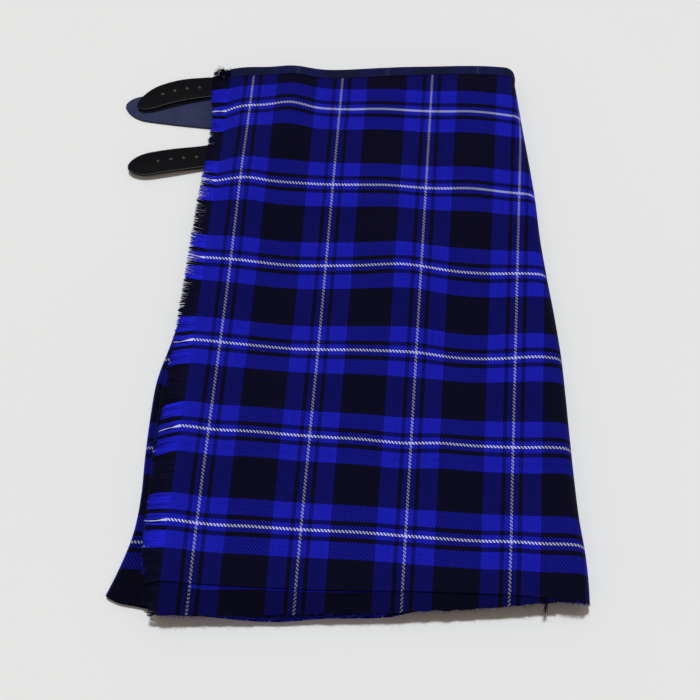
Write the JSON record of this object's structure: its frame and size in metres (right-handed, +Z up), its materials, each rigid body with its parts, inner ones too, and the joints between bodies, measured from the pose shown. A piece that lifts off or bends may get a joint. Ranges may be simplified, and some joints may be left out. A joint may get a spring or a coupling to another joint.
{
  "type": "scottish kilt",
  "caption": "Pleated tartan kilt laid flat, outer apron on top with a fringed edge, waistband, hem band and leather straps out at the side.",
  "frame": {"origin": "middle of the footprint, on the surface that the kilt lies on", "axes": "+X across the kilt toward its rolled side, +Y up the kilt toward the waist, +Z up from the surface, out of the outer apron"},
  "size_m": [0.4978, 0.6318, 0.0318],
  "materials": {
    "tartan_cloth": "twill woven wool in royal blue and black checks with thin white lines",
    "hem_cloth": "near-black twill woven wool with a raw edge",
    "waistband_cloth": "dark twill woven wool",
    "fringe_threads": "loose wool threads",
    "black_leather": "smooth black leather, semi-matt, with a bevelled edge",
    "navy_suede": "matt navy flesh side"
  },
  "bodies": {
    "root": {"apron_front": "tartan_cloth", "apron_hem_band": "hem_cloth", "apron_fringe": "fringe_threads", "under_apron": "tartan_cloth", "side_pleat": "tartan_cloth", "pleated_back": "tartan_cloth", "waistband_front": "waistband_cloth", "waistband_under": "waistband_cloth", "waistband_back": "waistband_cloth", "strap_waist": "black_leather", "strap_hip": "black_leather", "strap_under": "navy_suede"}
  },
  "joints": []
}
